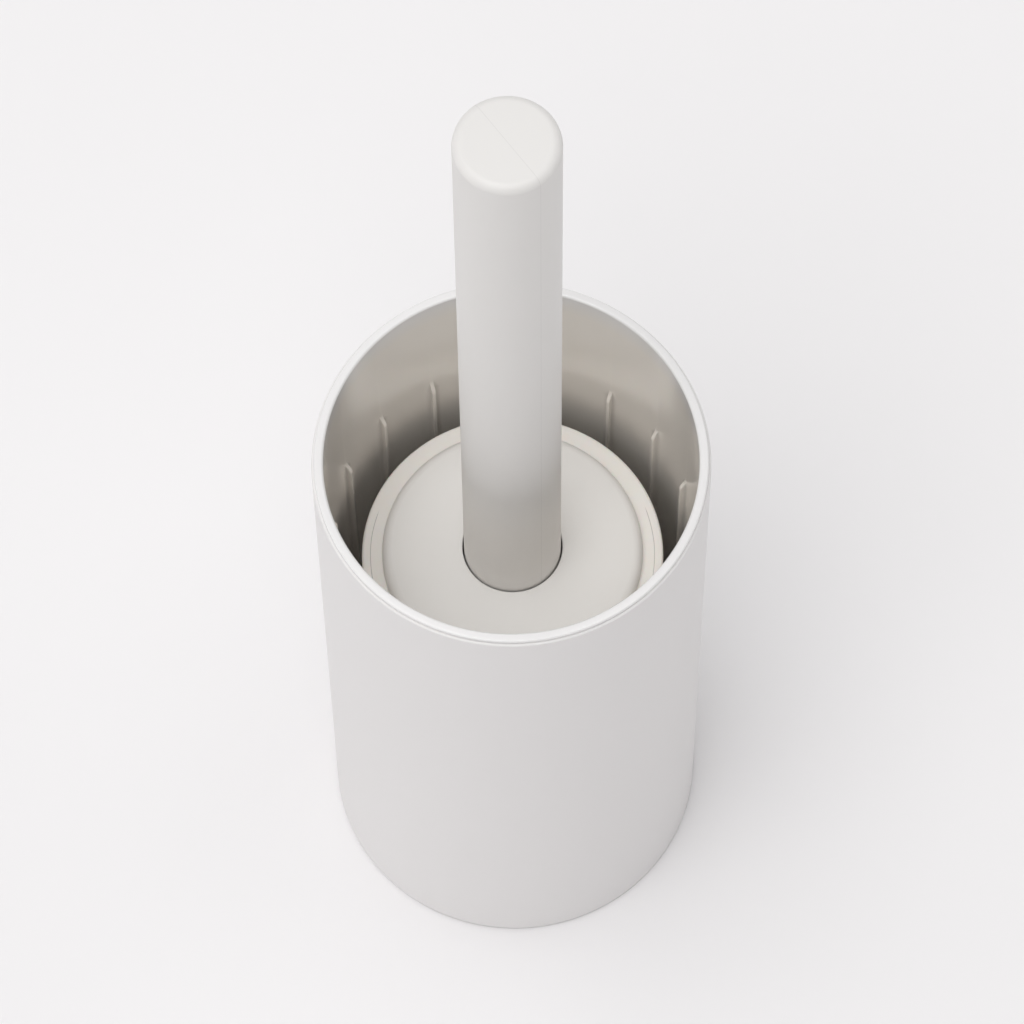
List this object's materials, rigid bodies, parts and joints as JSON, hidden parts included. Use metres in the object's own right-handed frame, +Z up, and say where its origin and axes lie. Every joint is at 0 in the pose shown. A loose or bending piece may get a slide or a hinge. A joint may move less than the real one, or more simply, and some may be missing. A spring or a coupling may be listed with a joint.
{
  "type": "toilet brush holder",
  "caption": "Round free-standing toilet brush holder with a lift-out ribbed liner, and a brush with a splash disc and a screw-off handle.",
  "frame": {"origin": "centre of the holder's footprint, on the surface it stands on", "axes": "+Z up along the common axis of holder and handle; +X and +Y in the standing surface, the object is round so their direction is free"},
  "size_m": [0.1, 0.1, 0.377],
  "materials": {
    "sleeve_plastic": "fine matte moulded plastic, warm white",
    "liner_plastic": "satin moulded plastic, warm white",
    "base_plastic": "matte moulded plastic",
    "foot_rubber": "soft matte grey rubber",
    "core_plastic": "satin moulded plastic, white",
    "bristle_nylon": "white nylon filaments",
    "staple_metal": "flat stainless wire",
    "soft_ring": "soft cream elastomer, matte",
    "disc_plastic": "fine matte moulded plastic, pale warm grey",
    "washer_silicone": "translucent white silicone",
    "handle_plastic": "fine satin moulded plastic, warm white",
    "plug_plastic": "matte moulded plastic"
  },
  "bodies": {
    "holder": {"outer_sleeve": "sleeve_plastic", "base_plate": "base_plastic", "foot_ring": "foot_rubber"},
    "liner": {"inner_liner": "liner_plastic"},
    "brush_head": {"brush_core": "core_plastic", "side_bristles": "bristle_nylon", "end_bristles": "bristle_nylon", "tuft_staples": "staple_metal", "drip_ring": "soft_ring", "splash_disc": "disc_plastic"},
    "seal": {"seal_washer": "washer_silicone"},
    "handle": {"handle_tube": "handle_plastic", "handle_plug": "plug_plastic"}
  },
  "joints": [
    {"name": "liner_lift", "type": "slide", "parent": "holder", "child": "liner", "axis": [0, 0, 1], "range_m": [0, 0.2]},
    {"name": "brush_lift", "type": "slide", "parent": "liner", "child": "brush_head", "axis": [0, 0, 1], "range_m": [0, 0.2]},
    {"name": "handle_rise", "type": "slide", "parent": "brush_head", "child": "seal", "axis": [0, 0, 1], "range_m": [0, 0.01201]},
    {"name": "handle_turn", "type": "hinge", "parent": "seal", "child": "handle", "pos_m": [0, 0, 0.142], "axis": [0, 0, 1], "range_deg": [0, 1440]}
  ],
  "couplings": [
    {"joint": "handle_rise", "follows": "handle_turn", "m_per_rad": 0.00047746}
  ]
}
